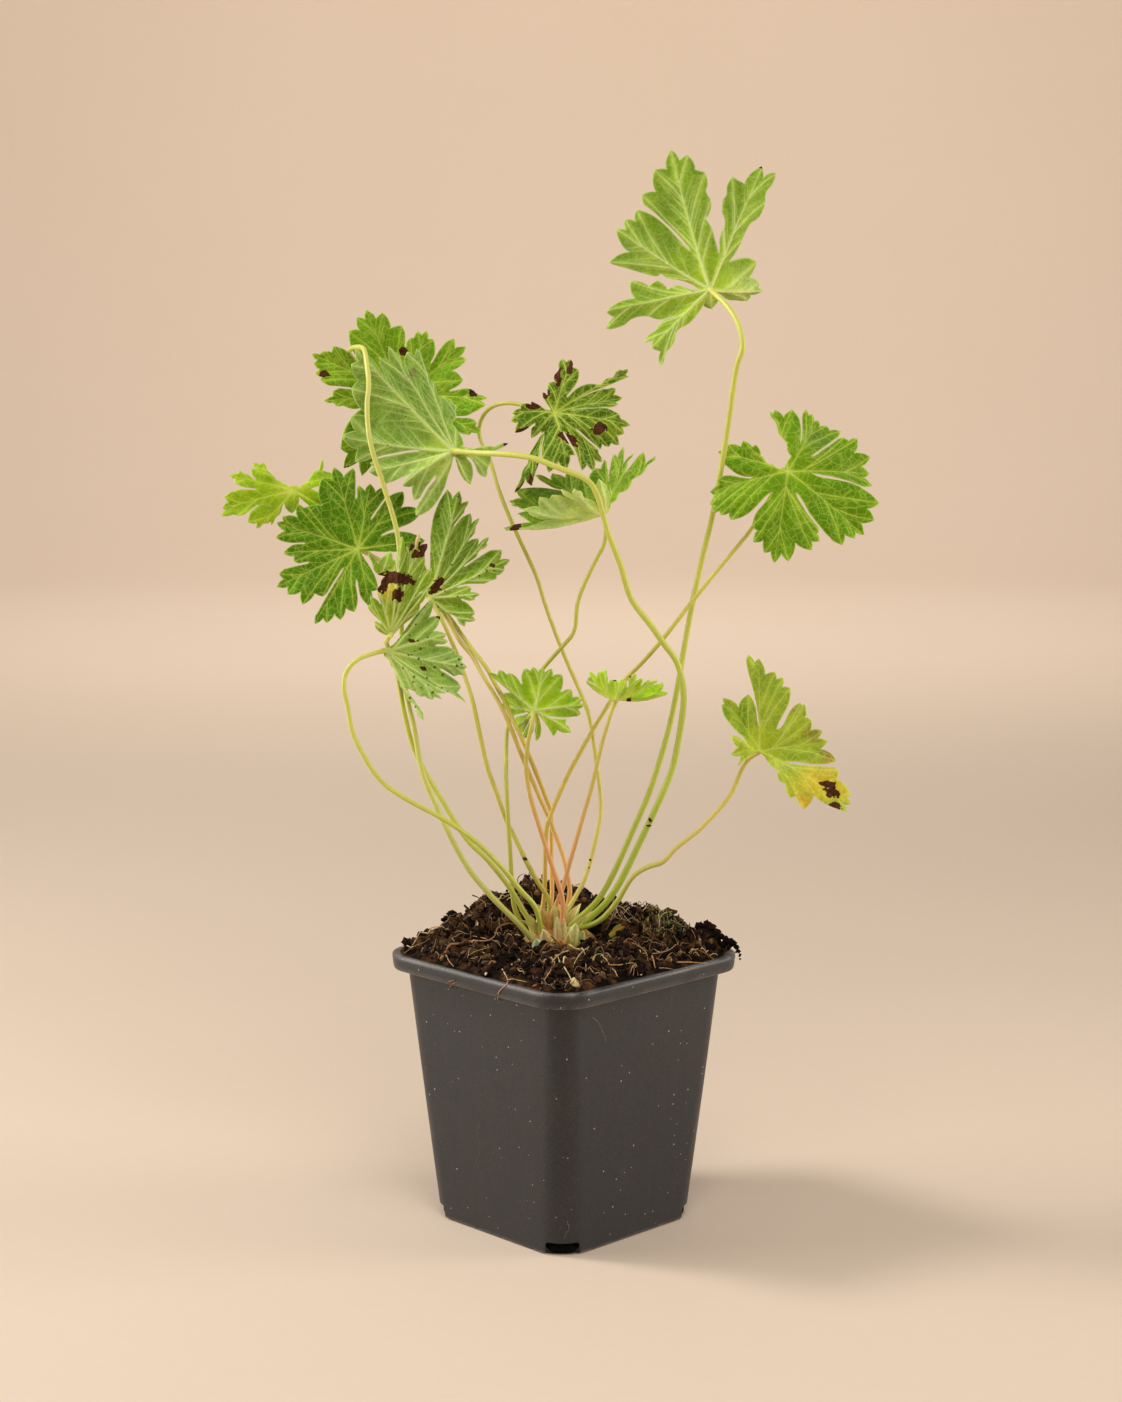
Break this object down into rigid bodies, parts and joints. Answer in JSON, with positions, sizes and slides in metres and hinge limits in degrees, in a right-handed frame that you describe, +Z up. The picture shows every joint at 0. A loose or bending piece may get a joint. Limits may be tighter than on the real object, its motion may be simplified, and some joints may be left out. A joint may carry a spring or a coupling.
{
  "type": "potted hardy geranium",
  "caption": "Young hardy geranium with long-stalked, palmately lobed leaves rising from one crown in a square nursery pot of peat.",
  "frame": {"origin": "middle of the pot's underside, on the surface that it stands on", "axes": "+Z up along the pot; -Y faces the viewer of the picture, who sees one corner of the pot"},
  "size_m": [0.2156, 0.1166, 0.3587],
  "materials": {
    "pot": "matte",
    "soil": "rough peat",
    "crown": "papery",
    "leaf": "satin",
    "stalk": "satin"
  },
  "bodies": {
    "root": {"pot": "pot", "soil": "soil", "crown": "crown", "leaf_01": "leaf", "leaf_02": "leaf", "leaf_03": "leaf", "leaf_04": "leaf", "leaf_05": "leaf", "leaf_06": "leaf", "leaf_07": "leaf", "leaf_08": "leaf", "leaf_09": "leaf", "leaf_10": "leaf", "leaf_11": "leaf", "leaf_12": "leaf", "leaf_13": "leaf", "leaf_14": "leaf", "stem_01": "stalk", "stem_02": "stalk", "stem_03": "stalk", "stem_04": "stalk", "stem_05": "stalk", "stem_06": "stalk", "stem_07": "stalk", "stem_08": "stalk", "stem_09": "stalk", "stem_10": "stalk", "stem_11": "stalk", "stem_12": "stalk", "stem_13": "stalk", "stem_14": "stalk"}
  },
  "joints": []
}
